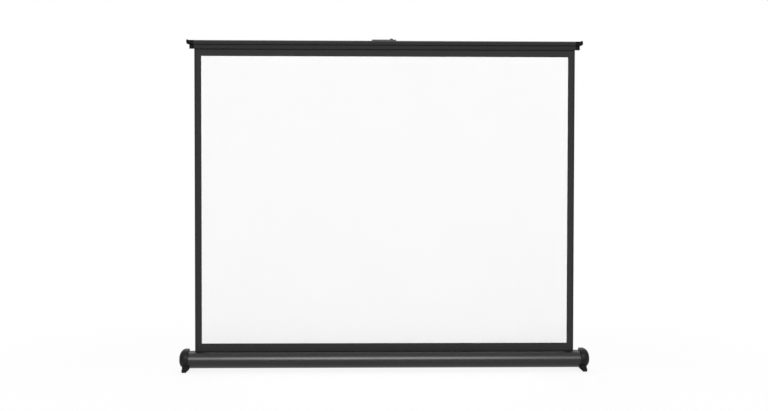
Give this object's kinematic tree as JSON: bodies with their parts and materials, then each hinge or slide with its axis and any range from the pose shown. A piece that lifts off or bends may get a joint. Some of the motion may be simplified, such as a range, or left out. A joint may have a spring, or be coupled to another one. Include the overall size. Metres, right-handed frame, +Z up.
{
  "type": "table-top pull-up projection screen",
  "caption": "Table-top projection screen: fabric on a spring roller in a low case, pulled up by a top bar that a folding arm behind holds, on swing-out feet.",
  "frame": {"origin": "middle of the footprint, on the table", "axes": "+X to the right of the picture, +Y from the picture face to the back, +Z up"},
  "size_m": [1.1354, 0.1433, 0.923],
  "materials": {
    "case_aluminium": "charcoal powder coat",
    "cap_plastic": "fine-grained black moulding",
    "screen_cloth": "matte white face with a black printed border and a black back",
    "arm_steel": "black paint",
    "hanger_metal": "charcoal paint",
    "bright_steel": "zinc plated",
    "dark_screws": "blackened",
    "spring_steel": "drawn wire",
    "roller_aluminium": "mill finish",
    "nylon": "natural",
    "pad_rubber": "matte"
  },
  "bodies": {
    "case": {"case_extrusion": "case_aluminium", "left_end_cap": "cap_plastic", "right_end_cap": "cap_plastic", "end_cap_screws": "dark_screws", "roller_bush": "nylon", "spring_arbor": "bright_steel", "arbor_collar": "nylon", "torsion_spring": "spring_steel", "base_bracket": "arm_steel", "base_bracket_screws": "dark_screws", "base_pivot_pin": "bright_steel", "base_pivot_washers": "nylon", "foot_pivot_screws": "bright_steel", "foot_washers": "nylon", "screen_fabric": "screen_cloth"},
    "roller": {"roller_tube": "roller_aluminium", "roller_idler_plug": "nylon", "roller_spring_plug": "nylon", "roller_spline": "nylon", "fabric_wraps": "screen_cloth"},
    "lower_arm": {"lower_arm_front_side": "arm_steel", "lower_arm_back_side": "arm_steel", "lower_arm_spine": "arm_steel", "lower_arm_bush": "bright_steel", "knee_pin": "bright_steel", "knee_washers": "nylon"},
    "upper_arm": {"upper_arm": "arm_steel", "upper_arm_bushes": "bright_steel"},
    "top_bar": {"top_bar": "case_aluminium", "left_bar_cap": "cap_plastic", "right_bar_cap": "cap_plastic", "top_spline": "nylon", "top_hanger": "hanger_metal", "hanger_screws": "dark_screws", "top_pivot_pin": "bright_steel", "top_pivot_spacer": "bright_steel", "top_pivot_washers": "nylon"},
    "left_foot": {"left_foot": "cap_plastic", "left_foot_pads": "pad_rubber"},
    "right_foot": {"right_foot": "cap_plastic", "right_foot_pads": "pad_rubber"}
  },
  "joints": [
    {"name": "arm_fold", "type": "hinge", "parent": "case", "child": "lower_arm", "pos_m": [0.0172, -0.01057, 0.038], "axis": [0, -1, 0], "range_deg": [0, 88.79], "deforming": ["screen_fabric"]},
    {"name": "knee_fold", "type": "hinge", "parent": "lower_arm", "child": "upper_arm", "pos_m": [0.02641, -0.01057, 0.4775], "axis": [0, -1, 0], "range_deg": [-177.58, 0]},
    {"name": "bar_level", "type": "hinge", "parent": "upper_arm", "child": "top_bar", "pos_m": [0.0172, -0.01057, 0.917], "axis": [0, -1, 0], "range_deg": [0, 88.79]},
    {"name": "roller_spin", "type": "hinge", "parent": "case", "child": "roller", "pos_m": [0, -0.04637, 0.03225], "axis": [-1, 0, 0], "range_deg": [0, 3174.3]},
    {"name": "left_foot_swing", "type": "hinge", "parent": "case", "child": "left_foot", "pos_m": [-0.5518, -0.05738, 0.0086], "axis": [0, 0, -1], "range_deg": [0, 90]},
    {"name": "right_foot_swing", "type": "hinge", "parent": "case", "child": "right_foot", "pos_m": [0.5518, -0.05738, 0.0086], "axis": [0, 0, 1], "range_deg": [0, 90]}
  ],
  "couplings": [
    {"joint": "knee_fold", "follows": "arm_fold", "ratio": -2},
    {"joint": "bar_level", "follows": "arm_fold", "ratio": 1},
    {"joint": "roller_spin", "follows": "arm_fold", "ratio": 35.75}
  ]
}
